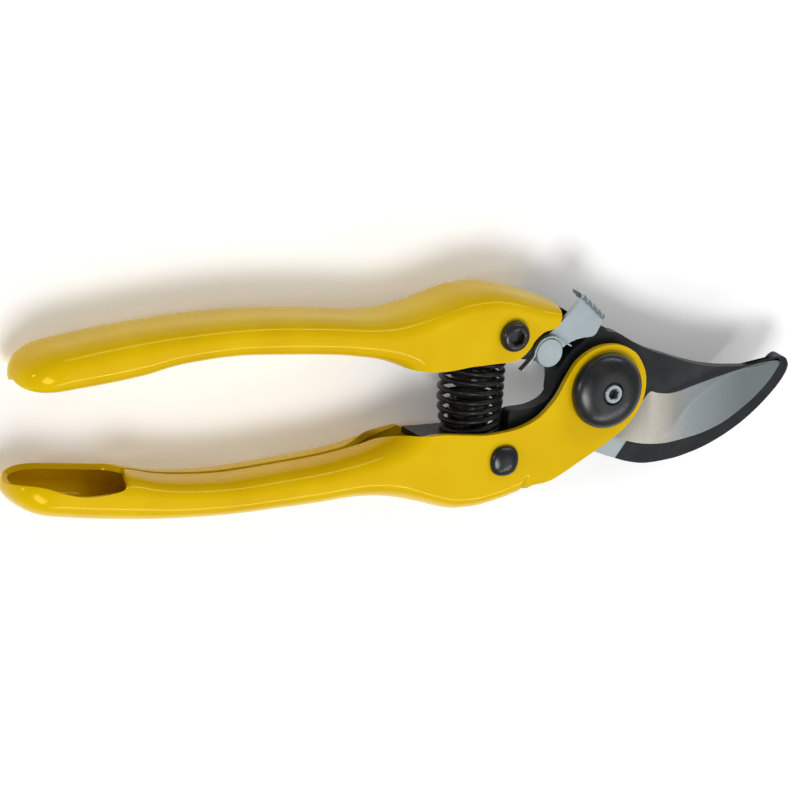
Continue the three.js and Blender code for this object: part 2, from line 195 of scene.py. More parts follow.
def along(points, count, fine_steps=FINE):
    """The same curve at even steps of its length."""
    fine = spline(points, fine_steps)
    run = np.concatenate([[0], np.cumsum(np.linalg.norm(np.diff(fine, axis=0), axis=1))])
    want = np.linspace(0, run[-1], count)
    return np.stack([np.interp(want, run, fine[:, k]) for k in range(fine.shape[1])], 1)


def height_at(points, x):
    """The curve's y at each x, for a curve that runs one way in x."""
    fine = spline(points, FINE)
    return np.interp(x, fine[:, 0], fine[:, 1])


def smooth_step(x, start, end):
    """0 before start and 1 after end, with the smooth rise 3 t^2 - 2 t^3 between them."""
    t = np.clip((np.asarray(x, float) - start) / (end - start), 0, 1)
    return t * t * (3 - 2 * t)


def unit_rows(vectors):
    """Each row divided by its length."""
    return vectors / np.maximum(np.linalg.norm(vectors, axis=1), 1e-6)[:, None]


# %% [markdown]
# ## Camera, light and floor
# A long lens far away keeps the handles' proportions, as a product picture does. The floor is a large
# pale sheet. A wide panel in front lights the shears, two narrow strips draw the long highlights along
# the folded edges, a fourth panel shines in the ground steel, and a small one stands for a window.

# %% Camera
TARGET = Vector((-0.055, 0.0, 0.0104))
AWAY = Vector((-0.498, 0.2838, 0.8194)).normalized()
RIGHT = Vector((0.8636, 0.0767, 0.4983)).normalized()
UP = AWAY.cross(RIGHT)
DISTANCE = 6.0
SENSOR = 36.0
FIELD = 0.1786                      # width of the view at the target, in metres
SHIFT = (0.00587, -0.0005)          # from the target to the middle of the view, right and up, in metres

camera = bpy.data.objects.new("camera", bpy.data.cameras.new("camera"))
bpy.context.scene.collection.objects.link(camera)
camera.data.sensor_width = SENSOR
camera.data.lens = SENSOR * DISTANCE / FIELD
camera.data.clip_end = 20
centre = TARGET + RIGHT * SHIFT[0] + UP * SHIFT[1]
camera.location = centre + AWAY * DISTANCE
turn = np.array([RIGHT, UP, AWAY]).T
camera.rotation_euler = Matrix(turn.tolist()).to_euler()
bpy.context.scene.camera = camera
bpy.context.scene.view_settings.view_transform = "Standard"
print(f"lens {camera.data.lens:.0f} mm at {DISTANCE} m")


# %% Soft panels and the floor
def panel(name, right, up, away, width, height, watts):
    """An area light placed along the camera's own axes and turned to the shears."""
    lamp = bpy.data.lights.new(name, "AREA")
    lamp.shape = "RECTANGLE"
    lamp.size = width
    lamp.size_y = height
    lamp.energy = watts
    body = bpy.data.objects.new(name, lamp)
    body.location = TARGET + RIGHT * right + UP * up + AWAY * away
    body.rotation_euler = (body.location - TARGET).to_track_quat("Z", "Y").to_euler()
    bpy.context.scene.collection.objects.link(body)


panel("front_panel", 0.3, -1.0, 1.2, 0.8, 0.5, 13.5)
panel("spine_strip", 0.9, 0.8, 0.45, 0.9, 0.03, 2.6)
panel("edge_strip", 0.85, -0.95, 0.14, 0.9, 0.03, 2.6)
panel("steel_panel", 1.14, -0.65, 0.48, 0.7, 0.7, 1.2)
panel("window_panel", -0.75, -0.15, 1.1, 0.16, 0.16, 2.2)

world = bpy.data.worlds.new("soft_room")
world.use_nodes = True
backdrop = world.node_tree.nodes["Background"].inputs
backdrop["Color"].default_value = (1.0, 1.0, 1.0, 1)
backdrop["Strength"].default_value = 0.3
bpy.context.scene.world = world

FLOOR_RADIUS = 3.0
FLOOR_TOP = -0.0002                 # a hair below the shears, in metres
FLOOR_DISH = 0.002                  # how far the rim hangs below the middle


def floor_sheet():
    """A wide disc, dished towards its rim: z = top - dish * (r / radius) squared."""
    rings, around = 12, 96
    radius = np.linspace(0.0, FLOOR_RADIUS, rings + 1)[1:, None]
    angle = np.linspace(0, 2 * np.pi, around, endpoint=False)[None, :]
    x, y = radius * np.cos(angle), radius * np.sin(angle)
    z = FLOOR_TOP - FLOOR_DISH * (radius / FLOOR_RADIUS) ** 2 + 0 * angle
    points = np.vstack([[0, 0, FLOOR_TOP], np.stack([x, y, z], -1).reshape(-1, 3)])
    first = 1 + np.arange(around)
    fan = np.stack([0 * first, first, np.roll(first, -1)], 1)
    quads = 1 + grid_faces(rings, around, close_columns=True)[:, ::-1]
    mesh = bpy.data.meshes.new("floor")
    mesh.from_pydata(points.tolist(), [], fan.tolist() + quads.tolist())
    sheet = bpy.data.objects.new("floor", mesh)
    bpy.context.scene.collection.objects.link(sheet)
    return sheet


floor = floor_sheet()
print("camera, panels and floor are in place")

# %% [markdown]
# ## Finishes
# Each finish is a Principled shader whose colour, roughness and bump come from noise in Object
# coordinates. The pieces keep their place in their mesh, so the grain has one scale over the whole tool.
# A helper adds the nodes, and each finish then says only what is special about it.


# %% Node helper
class Finish:
    """A material with a few named helpers for its node tree."""

    def __init__(self, name):
        self.material = bpy.data.materials.new(name)
        self.material.use_nodes = True
        self.tree = self.material.node_tree
        self.shader = self.tree.nodes["Principled BSDF"]
        self.place = self.tree.nodes.new("ShaderNodeTexCoord").outputs["Object"]

    def set(self, **values):
        """Sets the shader's own inputs; an underscore stands for a space in the input's name."""
        for key, value in values.items():
            self.shader.inputs[key.replace("_", " ")].default_value = value

    def noise(self, scale, detail, stretch=(1, 1, 1)):
        """Smooth noise with about `scale` grains to the metre, drawn out along an axis by stretch."""
        mapping = self.tree.nodes.new("ShaderNodeMapping")
        mapping.inputs["Scale"].default_value = stretch
        self.tree.links.new(self.place, mapping.inputs["Vector"])
        node = self.tree.nodes.new("ShaderNodeTexNoise")
        node.inputs["Scale"].default_value = scale
        node.inputs["Detail"].default_value = detail
        node.inputs["Roughness"].default_value = 0.55
        self.tree.links.new(mapping.outputs["Vector"], node.inputs["Vector"])
        return node.outputs["Fac"]

    def ramp(self, source, stops):
        """A colour ramp through (position, colour) stops."""
        node = self.tree.nodes.new("ShaderNodeValToRGB")
        elements = node.color_ramp.elements
        while len(elements) < len(stops):
            elements.new(0.5)
        for element, (position, colour) in zip(elements, stops):
            element.position = position
            element.color = (*colour, 1)
        self.tree.links.new(source, node.inputs["Fac"])
        return node.outputs["Color"]

    def spread(self, source, low, high, start=0.3, end=0.7):
        """Maps a value so that start becomes low and end becomes high, and stops at both."""
        node = self.tree.nodes.new("ShaderNodeMapRange")
        for key, value in zip(("From Min", "From Max", "To Min", "To Max"), (start, end, low, high)):
            node.inputs[key].default_value = value
        self.tree.links.new(source, node.inputs["Value"])
        return node.outputs["Result"]

    def mix(self, factor, first, second):
        """Two colours, or a colour and another node's output, blended by the factor."""
        node = self.tree.nodes.new("ShaderNodeMix")
        node.data_type = "RGBA"
        self.tree.links.new(factor, node.inputs["Factor"])
        for slot, colour in (("A", first), ("B", second)):
            socket = [s for s in node.inputs if s.name == slot and s.type == "RGBA"][0]
            if isinstance(colour, tuple):
                socket.default_value = (*colour, 1)
            else:
                self.tree.links.new(colour, socket)
        return [s for s in node.outputs if s.type == "RGBA"][0]

    def below(self, x_part, y_part, edge, width):
        """1 where x_part x + y_part y is below edge, in metres, falling to 0 over the width."""
        node = self.tree.nodes.new("ShaderNodeVectorMath")
        node.operation = "DOT_PRODUCT"
        self.tree.links.new(self.place, node.inputs[0])
        node.inputs[1].default_value = (x_part, y_part, 0)
        return self.spread(node.outputs["Value"], 1, 0, edge, edge + width)

    def times(self, first, second):
        node = self.tree.nodes.new("ShaderNodeMath")
        node.operation = "MULTIPLY"
        self.tree.links.new(first, node.inputs[0])
        self.tree.links.new(second, node.inputs[1])
        return node.outputs[0]

    def bump(self, source, strength, depth):
        """Adds a bump of the given depth in metres on top of any bump that is there."""
        node = self.tree.nodes.new("ShaderNodeBump")
        node.inputs["Strength"].default_value = strength
        node.inputs["Distance"].default_value = depth
        self.tree.links.new(source, node.inputs["Height"])
        previous = self.shader.inputs["Normal"].links
        if previous:
            self.tree.links.new(previous[0].from_socket, node.inputs["Normal"])
        self.tree.links.new(node.outputs["Normal"], self.shader.inputs["Normal"])

    def wire(self, output, key):
        self.tree.links.new(output, self.shader.inputs[key])


# %% [markdown]
# ### The yellow dip
# The handles are hung in a bath of plastic, which leaves a thick, glossy skin with a faint orange peel.
# It is a little browner where it is thin, and its gloss is a little uneven.


# %% Yellow dip coating
def yellow_dip():
    """Yellow plastic whose reflections are tinted, because light passes through the skin twice."""
    f = Finish("yellow_dip")
    f.set(Roughness=0.16, IOR=1.45, Specular_IOR_Level=0.5, Specular_Tint=(1.0, 0.62, 0.12, 1.0))
    tone = f.ramp(f.noise(60, 2), [(0.3, (0.68, 0.43, 0.001)), (0.7, (0.75, 0.50, 0.002))])
    f.wire(tone, "Base Color")
    f.wire(f.spread(f.noise(120, 2), 0.13, 0.19), "Roughness")
    f.bump(f.noise(160, 0), 0.05, 0.0002)
    return f


# %% [markdown]
# ### Steel finishes
# The blades are blackened, and the blade's bevel is ground bright afterwards. Grinding leaves fine lines
# across the bevel, drawn by noise that is stretched along one axis. Zinc plate is pale and slightly
# bluish, with a soft cloudiness.


# %% Blackened steel
# colour of the black, colour where it is worn, roughness
FORGED_BLACK = ((0.010, 0.013, 0.014), (0.020, 0.024, 0.025), 0.4)
NUT_TONES = ((0.008, 0.010, 0.013), (0.028, 0.022, 0.016), 0.26)
WIRE_TONES = ((0.006, 0.006, 0.005), (0.016, 0.016, 0.014), 0.3)


def black_steel(name, base, worn, gloss, speckle=700, shine=0.3):
    """Black with worn clouds. speckle is the grain of its gloss, shine how strongly it reflects."""
    f = Finish(name)
    f.set(Metallic=0.1, Roughness=gloss, IOR=1.45, Specular_IOR_Level=shine)
    cloud = f.spread(f.noise(180, 4), 0, 1, 0.45, 0.72)
    f.wire(f.mix(cloud, base, worn), "Base Color")
    f.wire(f.spread(f.noise(speckle, 4), gloss - 0.04, gloss + 0.06), "Roughness")
    f.bump(f.noise(speckle, 1), 0.04, 0.00004)
    return f


def hook_steel():
    """Blackened steel, with a bright zone behind the slanting line x - 0.7 y = 21.4 mm (y below -11 mm)."""
    f = black_steel("blackened_hook", *FORGED_BLACK)
    bright = f.times(f.below(1, -0.7, 0.0214, 0.0004), f.below(0, 1, -0.011, 0.0006))
    black = f.shader.inputs["Base Color"].links[0].from_socket
    f.wire(f.mix(bright, black, (0.42, 0.48, 0.50)), "Base Color")
    return f


# %% Ground steel and zinc plate
def ground_steel():
    """Grinding lines across the bevel, over a painted reflection that is bright and warm near the pivot and
    falls off to dark and cool towards the tip.
    """
    f = Finish("ground_steel")
    f.set(Metallic=0.75, Roughness=0.4)
    lines = f.noise(900, 2, stretch=(8, 0.8, 1))
    axes = f.tree.nodes.new("ShaderNodeSeparateXYZ")
    f.tree.links.new(f.place, axes.inputs[0])
    # Painted reflection: the bevel's colour is bright and warm near the pivot and darker and cooler towards
    # the tip.
    painted_reflection_falloff = f.spread(axes.outputs["X"], 0, 1, 0.006, 0.04)
    tone = f.ramp(painted_reflection_falloff, [(0.0, (0.46, 0.43, 0.36)), (0.42, (0.48, 0.46, 0.41)),
                                (0.62, (0.30, 0.34, 0.36)), (1.0, (0.17, 0.20, 0.20))])
    grain = f.mix(f.spread(lines, 0, 0.16), tone, (0.2, 0.2, 0.195))
    f.wire(grain, "Base Color")
    f.wire(f.spread(lines, 0.46, 0.54), "Roughness")
    f.bump(lines, 0.12, 0.00003)
    return f


def zinc_plate():
    """Pale plating with slow clouds in its colour and gloss."""
    f = Finish("zinc_plate")
    f.set(Metallic=0.85, Roughness=0.3)
    cloud = f.ramp(f.noise(140, 2), [(0.3, (0.33, 0.39, 0.41)), (0.7, (0.40, 0.46, 0.48))])
    f.wire(cloud, "Base Color")
    f.wire(f.spread(f.noise(300, 3), 0.26, 0.36), "Roughness")
    f.bump(f.noise(500, 2), 0.05, 0.00004)
    return f


def turned_brass():
    """Brass with the fine rings that a lathe leaves."""
    f = Finish("turned_brass")
    f.set(Metallic=1.0, Roughness=0.35)
    rings = f.noise(600, 2, stretch=(0.4, 0.4, 6))
    f.wire(f.mix(f.spread(rings, 0, 1), (0.58, 0.40, 0.16), (0.68, 0.50, 0.24)), "Base Color")
    f.bump(rings, 0.2, 0.00005)
    return f


def pale_sheet():
    """Matt paper for the floor, with a little light of its own so that it stays pale."""
    f = Finish("pale_sheet")
    f.set(Roughness=0.9, Specular_IOR_Level=0.0, Emission_Color=(1, 1, 1, 1), Emission_Strength=0.14)
    f.wire(f.ramp(f.noise(4, 2), [(0.3, (0.93, 0.93, 0.93)), (0.7, (0.96, 0.96, 0.96))]), "Base Color")
    return f


# %% Make the finishes
YELLOW = yellow_dip().material
HOOK_BLACK = hook_steel().material
BLACK = black_steel("blackened_blade", *FORGED_BLACK).material
NUT_BLACK = black_steel("blackened_nut", *NUT_TONES, speckle=300, shine=0.6).material
WIRE_BLACK = black_steel("blackened_wire", *WIRE_TONES, speckle=1200).material
GROUND = ground_steel().material
ZINC = zinc_plate().material
BRASS = turned_brass().material
floor.data.materials.append(pale_sheet().material)
print("finishes:", [m.name for m in (YELLOW, HOOK_BLACK, BLACK, NUT_BLACK, WIRE_BLACK, GROUND, ZINC, BRASS)])

# %% [markdown]
# ## Handles
# A handle is one strip of sheet, folded to a U. Along the grip its edges roll inwards until they nearly
# meet in a seam, at the end it opens into a spoon, and at the head the edges stand straight and the
# walls straddle the blades. It could be sculpted, or cut from a block. Here it is unrolled instead: a
# grid whose columns run along the strip and whose rows are the bent section, so the sheet keeps its
# thickness everywhere. Solidify gives the sheet its wall, and Bevel rounds the coated edges.

# %% Outlines of a handle, from the middle line outwards
SPINE = [(-148, 18.2), (-140, 19.6), (-128, 21.2), (-115, 22.4), (-100, 23), (-86, 22.8), (-72, 21.7),
         (-60, 20.4), (-52, 20.6), (-44, 22.2), (-36, 24.4), (-30, 24.8), (-22, 23.3), (-10, 19.6), (0, 15)]
INNER = [(-148, 8.8), (-144, 8.9), (-138, 9.2), (-126, 10.2), (-118, 11.2), (-111, 12.7), (-104, 13.5),
         (-94, 13.9), (-82, 13.2), (-68, 12), (-58, 10.3), (-53, 8.8), (-48, 7.3), (-42, 6.6), (-35, 7.2)]
BELLY = [(-148, 0), (-90, 0), (-76, 0.4), (-64, 1.0), (-53, 1.8), (-39, 2.1), (-28, 1.6), (-18, 1.3)]
GRIP_END = -148.0
TIP = 10.0                          # length over which the grip's end is rounded
BLUNT = 2.4                         # superellipse exponent of that rounding
SCOOP_END = -120.5                  # where the open spoon closes to a seam
SEAM = 0.975                        # share of the curl that is left before the two edges touch
GRIP_TO_HEAD = -35.0                # from here on the outlines are rails, because they turn back
HEAD_CORNER = 3.4                   # rounding of the spine at the head
STRAIGHT_CORNER = 5.0               # depth of the inner part where the edge no longer curls
FORK = -19.0                        # the lower handle's spine ends here and its walls stand apart
FORK_INSET = 1.1                    # how far the walls stand back from the spine where they part
BACK_END = -17.5                    # the lower handle's back wall stops short of the pivot
COATED_EDGE = 0.35                  # rounding that the coating gives to a cut edge

LOWER_SPINE_RAIL = [(-35, 24.5), (-30, 24.8), (-24, 23.9), (-19, 22.6), (-12, 20.4), (-4, 16), (4, 11.2),
                    (8.4, 7), (10.6, 2.4), (10.6, -2.6), (8.8, -6.4), (7.2, -8.2)]
LOWER_EDGE_RAIL = [(-35, 7.2), (-29, 7.6), (-22, 6.8), (-17, 4.8), (-13.6, 1.6), (-11.8, -1), (-10.4, -3.8),
                   (-7.6, -7.9), (-3.2, -10.4), (1.2, -10.85), (4.6, -9.9), (7.2, -8.2)]
UPPER_SPINE_RAIL = [(-35, 24.5), (-30, 24.8), (-26, 24.3), (-22, 23.3), (-19, 22.4), (-17, 21.8),
                    (-15.6, 21.3), (-14.4, 20.9), (-13.4, 20.5), (-12.6, 20.2), (-12.2, 20)]
UPPER_EDGE_RAIL = [(-35, 7.2), (-29, 7.4), (-23.5, 7.7), (-20.4, 10), (-19.2, 12), (-17.2, 13.8),
                   (-15.4, 14.25), (-14.2, 14.6), (-13.1, 15.3)]


# %% [markdown]
# The bent section, measured from the spine inwards: a superellipse quarter turns the spine into the
# wall, the wall runs straight, and a second quarter curls to the seam. On the spoon the curl stops
# early, and at the head it unrolls and carries the wall on.


# %% Bent section of the strip
def bend_section(depth, half, corner, power, curl, reach, counts):
    """Half a section. depth is from spine to inner side, corner the depth of the spine's rounding, power
    the superellipse exponent, curl 1 for a rolled edge and 0 for a straight one, reach how far the last
    part goes. Returns (rows, columns) arrays of the distance in from the spine and of the height."""
    spine_count, wall_count, curl_count = counts
    p = (2 / power)[:, None]
    a = np.linspace(0, np.pi / 2, spine_count)[None, :]
    roll = np.where(curl > 0, corner, STRAIGHT_CORNER)
    rs = np.minimum(corner, depth / 2)[:, None]
    rc = np.minimum(roll, depth / 2)[:, None]
    d, h = depth[:, None], half[:, None]
    t_spine = rs * (1 - np.cos(a) ** p)
    z_spine = h * np.sin(a) ** p
    w = np.linspace(0, 1, wall_count + 2)[1:-1][None, :]
    t_wall = rs + (d - rc - rs) * w
    z_wall = h + 0 * w
    s = np.linspace(0, 1, curl_count)[None, :] * reach[:, None]
    b = s * np.pi / 2
    t_round = d - rc * (1 - np.sin(b) ** p)
    z_round = h * np.cos(b) ** p
    t_flat = d - rc * (1 - s)
    c = curl[:, None]
    t_curl = c * t_round + (1 - c) * t_flat
    z_curl = c * z_round + (1 - c) * h
    return np.hstack([t_spine, t_wall, t_curl]), np.hstack([z_spine, z_wall, z_curl])


def handle_rows(spine_rail, edge_rail):
    """Pairs of points, on the spine and on the inner side, from the grip's end to the head's tip."""
    tip = GRIP_END + TIP * (1 - np.cos(np.linspace(0, np.pi / 2, 22)))
    grip = np.linspace(tip[-1], GRIP_TO_HEAD, 92)[1:]
    x = np.concatenate([tip, grip])
    outer = np.stack([x, height_at(SPINE, x)], 1)
    inside = np.stack([x, height_at(INNER, x)], 1)
    outer = np.vstack([outer, along(spine_rail, 46)[1:]])
    inside = np.vstack([inside, along(edge_rail, 46)[1:]])
    return outer, inside, len(x)


# %% [markdown]
# The tip of the grip is scaled down towards the rim, so the spoon closes like the bowl of a spoon. The
# back half of the section is the front half reflected in the middle plane; on the spoon it reaches a
# little further, because the sheet was cut on a slant. Behind the spring the back wall is cut lower.


# %% Where the sheet ends round its section
def sheet_reach(x, front, lip, fork):
    """How far the curl goes: to the seam, to the spoon's lip, or less where the back wall is cut lower."""
    closed = SEAM
    if not front:
        cut = 0.5 * smooth_step(x, -62, -48) + 0.4 * smooth_step(x, -39, -36)
        closed = SEAM - cut * (1 if fork else smooth_step(x, -20, -24))
    opened = smooth_step(x, SCOOP_END + 1.6, SCOOP_END - 1.2)
    return closed - (closed - height_at(lip, x)) * opened


# %% [markdown]
# The lower handle's spine stops at the fork. Past it, the columns that had turned round the spine lie
# flat in the wall, a little back from its outline, and reach that outline again 8 mm further on.


# %% Walls past the fork
def part_walls(x, head, plan, t, z, outer, inwards, half):
    """Moves the spine's columns into the wall for every row past the fork."""
    turns = COUNTS[0]
    after = np.cumsum(head & (x > FORK)) > 0
    z = np.where(after[:, None], half[:, None], z)
    start = FORK_INSET * (1 - smooth_step(x, FORK, FORK + 8))[:, None]
    wall_start = np.maximum(t[:, turns - 1:turns], start + 0.3)
    steps = start + (wall_start - start) * np.linspace(0, 1, turns)[None, :]
    laid = outer[:, None, :] + inwards[:, None, :] * steps[:, :, None]
    plan[:, :turns] = np.where(after[:, None, None], laid, plan[:, :turns])
    return plan, z


# %% Build one handle
COUNTS = (13, 12, 13)               # columns on the spine's rounding, on the wall and on the curl


def handle_sheet(name, side, spine_rail, edge_rail, lips, fork):
    """One folded handle. side is 1 or -1 for the half it lies in, lips the spoon's rim in front and
    behind, and fork says that the spine stops and the walls part."""
    outer, inside, grip_rows = handle_rows(spine_rail, edge_rail)
    x = outer[:, 0]
    head = np.arange(len(x)) >= grip_rows
    if fork:                                        # this handle's spine swells before the fork
        before = np.cumsum(head & (x > FORK)) == 0
        swell = np.where(before, height_at(BELLY, x), 0)
        outer = outer + unit_rows(outer - inside) * swell[:, None]
    gap = np.maximum(np.linalg.norm(inside - outer, axis=1) - WALL, 0)
    inwards = (inside - outer) / np.maximum(gap + WALL, 1e-6)[:, None]
    tip = np.clip((x - GRIP_END) / TIP, 0, 1)
    shrink = np.where(head, 1, np.clip(1 - (1 - tip) ** BLUNT, 0, 1) ** (1 / BLUNT))
    flat = np.where(head, 1, smooth_step(x, -64, -40))
    corner = np.where(head, HEAD_CORNER, (1 - flat) * gap / 2 + flat * HEAD_CORNER)
    power = 2.7 - 0.4 * flat
    curl = np.where(head, 0, 1 - smooth_step(x, -56, -44))
    half = np.full(len(x), HALF - WALL / 2) * shrink
    anchor = 0.68 * (1 - shrink) * gap              # the tip closes towards the spoon's rim
    sheets = []
    for front, lip in zip((True, False), lips):
        reach = sheet_reach(x, front, lip, fork)
        t, z = bend_section(gap, half, corner, power, curl, reach, COUNTS)
        t = anchor[:, None] + WALL / 2 + t * shrink[:, None]
        plan = outer[:, None, :] + inwards[:, None, :] * t[:, :, None]
        if fork:
            plan, z = part_walls(x, head, plan, t, z, outer, inwards, half)
        height = MIDDLE + (z if front else -z)
        sheets.append(np.dstack([plan[..., 0], side * plan[..., 1], height]).reshape(-1, 3))
    rows, columns = t.shape
    faces = grid_faces(rows, columns)
    back = faces[x[faces[:, 0] // columns] < BACK_END] if fork else faces
    both = np.vstack([faces, back[:, ::-1] + rows * columns])
    made = make_object(name, np.vstack(sheets), both, [YELLOW], sharp=180)
    thicken(made, WALL).use_even_offset = False
    soften(made, COATED_EDGE).modifiers["edges"].segments = 3
    return made


LOWER_LIPS = ([(-148, 0.3), (-143, 0.26), (-138, 0.12), (-133, 0.05), (-128, 0.08), (-123, 0.2), (-119, 0.4)],
              [(-148, 0.6), (-140, 0.62), (-130, 0.58), (-119, 0.56)])
UPPER_LIPS = ([(-148, 0.5), (-142, 0.62), (-136, 0.72), (-128, 0.66), (-119, 0.5)],
              [(-148, 0.5), (-140, 0.6), (-130, 0.6), (-119, 0.5)])
lower_handle = handle_sheet("lower_handle", -1, LOWER_SPINE_RAIL, LOWER_EDGE_RAIL, LOWER_LIPS, fork=True)
upper_handle = handle_sheet("upper_handle", 1, UPPER_SPINE_RAIL, UPPER_EDGE_RAIL, UPPER_LIPS, fork=False)
adopt(lower_handle, "lower_handle", "yellow_coating", "lower_handle_shell")
adopt(upper_handle, "upper_handle", "yellow_coating", "upper_handle_shell")

# %% [markdown]
# ## Blades
# Both blades are flat forgings, so each is a plate between two rails. A grid runs from one rail to the
# other on the front and again on the back, and a bevelled rim joins them. On the cutting blade a third
# rail marks where the grinding starts. From there the front falls to the edge in a shallow hollow.


# %% Plates between rails
def rail_plate(first, second, low, high, columns=24, middle=None, split=0.5, drop=None):
    """Points and faces of a closed plate. Row k runs from first[k] to second[k], through middle[k] at
    column split * columns when it is given. drop is how far the front lies below `high`, per point."""
    across = np.linspace(0, 1, columns)
    if middle is None:
        plan = first[:, None, :] + (second - first)[:, None, :] * across[None, :, None]
    else:
        near = np.clip(across / split, 0, 1)[None, :, None]
        far = np.clip((across - split) / (1 - split), 0, 1)[None, :, None]
        plan = first[:, None, :] + (middle - first)[:, None, :] * near + (second - middle)[:, None, :] * far
    rows = len(first)
    fall = np.zeros((rows, columns)) if drop is None else drop
    front = np.dstack([plan, high - fall])
    back = np.dstack([plan, np.full((rows, columns), float(low))])
    faces = grid_faces(rows, columns)
    grids = [faces, faces[:, ::-1] + rows * columns]
    loop = rim_loop(rows, columns)
    after = np.roll(loop, -1)
    grids.append(np.stack([loop, loop + rows * columns, after + rows * columns, after], 1))
    return np.vstack([front.reshape(-1, 3), back.reshape(-1, 3)]), grids


def rim_loop(rows, columns):
    """Indices round the edge of a rows by columns grid."""
    index = np.arange(rows * columns).reshape(rows, columns)
    return np.concatenate([index[0, :-1], index[:-1, -1], index[-1, :0:-1], index[:0:-1, 0]])


# %% Cutting blade
BLADE_TOP = [(-26.5, -11.8), (-24, -11.7), (-22.9, -11), (-22.6, -6), (-22, -4.3), (-17, -3.9),
             (-13.2, -2.4), (-11.6, 0), (-11, 3.4), (-8.6, 7.6), (-5, 10.4), (-2, 12.8), (-0.8, 13.7),
             (0.5, 13.6), (1.6, 12.6), (4.5, 11.8), (8.6, 9.4), (13, 7.2), (17.5, 5.6), (24.5, 3.2),
             (31, 1.7), (38, 1), (42.5, 1), (45.2, 1.3), (46.8, 1.9), (47.8, 2.2), (48.8, 1.9),
             (49.4, 0.9), (49.5, 0.2)]
BLADE_EDGE = [(-28, -14.6), (-27.6, -16.2), (-26.4, -17.4), (-24, -17.6), (-21, -17.6), (-18, -17.3),
              (-15, -16.4), (-12, -15), (-9, -13.6), (-6, -13), (-3, -12.7), (-0.6, -12.5), (1.6, -12.4),
              (3.2, -12.6), (4.6, -13), (8.3, -14), (12, -15.2), (16, -16), (20.9, -16.2), (26, -15.5),
              (31, -14.4), (36.4, -12.2), (41.8, -8.6), (44.4, -6.4), (46.4, -4.4), (48.2, -2.1), (49.5, 0.1)]
BLADE_GRIND = [(4.6, -13), (7.6, -9.7), (11, -6.1), (13.6, -3), (14.6, -2.7), (16.2, -3.2), (19.4, -3.7),
               (23, -3.6), (27, -2.7), (30.4, -1.5), (33.4, -0.3), (36.4, 0.55), (40, 0.8), (43, 0.85),
               (45.4, 1.15), (46.8, 1.65), (47.8, 1.95), (48.6, 1.65), (49.15, 0.9), (49.45, 0.2)]
LAND = 0.25                         # thickness left at the cutting edge
HOLLOW = 1.12                       # 1 would grind the bevel flat; more makes it hollow
FULL_WIDTH = 1.5                    # the bevel is ground to its full depth where it is this wide
TAPER = (2.5, 22, 49)               # how much the blade thins towards its tip, and between which x


def cutting_blade():
    """Rows follow the two outlines. The grind rail joins the edge up to the plunge line, then leaves it.
    The bevel is drop = depth * (1 - (1 - f) ** HOLLOW), with f from 0 on the grind rail to 1 on the edge."""
    rows, columns, split = 190, 45, 0.5
    top, edge = spline(BLADE_TOP, rows), spline(BLADE_EDGE, rows)
    start = int(np.argmax(edge[:, 0] > BLADE_GRIND[0][0]))
    middle = 0.5 * (top + edge)
    ease = smooth_step(np.arange(start), start - 26, start)[:, None]
    near_edge = edge[:start] + 0.02 * (top[:start] - edge[:start])
    middle[:start] = middle[:start] * (1 - ease) + near_edge * ease
    middle[start:] = along(BLADE_GRIND, rows - start, 900)
    f = np.clip((np.linspace(0, 1, columns)[None, :] - split) / (1 - split), 0, 1)
    full = BLADE[1] - BLADE[0] - LAND
    depth = full * smooth_step(np.arange(rows), start - 1, start + 5)[:, None]
    width = np.linalg.norm(middle - edge, axis=1)[:, None]
    drop = depth * np.minimum(1, width / FULL_WIDTH) * (1 - (1 - f) ** HOLLOW)
    drop = np.minimum(drop + TAPER[0] * smooth_step(top[:, :1], *TAPER[1:]), full)
    points, grids = rail_plate(top, edge, *BLADE, columns, middle, split, drop)
    front = grids[0]
    ground = (front[:, 0] % columns >= (columns - 1) // 2) & (front[:, 0] // columns >= start)
    which = np.concatenate([ground, np.zeros(sum(map(len, grids[1:])))])
    return make_object("cutting_blade_forging", points, np.vstack(grids), [BLACK, GROUND], which, sharp=24)


adopt(cutting_blade(), "lower_handle", "blade_steel", "cutting_blade")

# %% Counter blade
HOOK_INSIDE = [(-26.5, 11.8), (-24, 11.7), (-22.9, 11), (-22.6, 8), (-20, 6.9), (-15, 5.9), (-11, 5),
               (-9.4, 2.4), (-9.4, -2), (-8.2, -6), (-6, -9.6), (-3, -13.2), (1, -16), (5, -17.7),
               (8.2, -18.8), (12, -20), (16.7, -20.7), (23.2, -20.2), (27, -19.4), (31, -18.2), (35, -16.5),
               (38.5, -14.6), (41.6, -12.6), (44.5, -10.3), (47.4, -7.6), (50, -4.7), (51.6, -2.2),
               (52.1, -0.6)]
HOOK_OUTSIDE = [(-28, 14.6), (-27.6, 16.2), (-26.4, 17.6), (-23, 18), (-19, 18.4), (-15, 19), (-11, 18.6),
                (-7.4, 16.9), (-4, 14), (-0.6, 11.2), (4, 9.6), (8, 6.4), (10, 1.6), (10.2, -2.6), (9.6, -6),
                (9.6, -8.6), (11.4, -10.8), (15, -13), (21, -14.6), (25, -14.2), (30, -13), (34, -11.4),
                (38, -9.2), (41.6, -6.8), (44.6, -4.2), (47.2, -1.2), (48.8, 0.9), (50.3, 1.6), (51.5, 1),
                (52.1, -0.4)]


def counter_blade():
    """A plate of one thickness between the hook's two outlines."""
    rows, columns = 170, 15
    first, second = spline(HOOK_INSIDE, rows), spline(HOOK_OUTSIDE, rows)
    points, grids = rail_plate(first, second, *COUNTER, columns)
    made = make_object("counter_blade_forging", points, np.vstack(grids), [HOOK_BLACK], sharp=30)
    return soften(made, 0.4)


adopt(counter_blade(), "upper_handle", "blackened_steel", "counter_blade")

# %% [markdown]
# ## Turned and headed pieces
# Nuts, washers, rivets and bolts are profiles turned about an axis. A profile is a list of radii and
# heights. Where the head has a hexagon socket, the rows inside it follow r = a / cos(angle from the
# nearest flat), which is a hexagon in polar form.


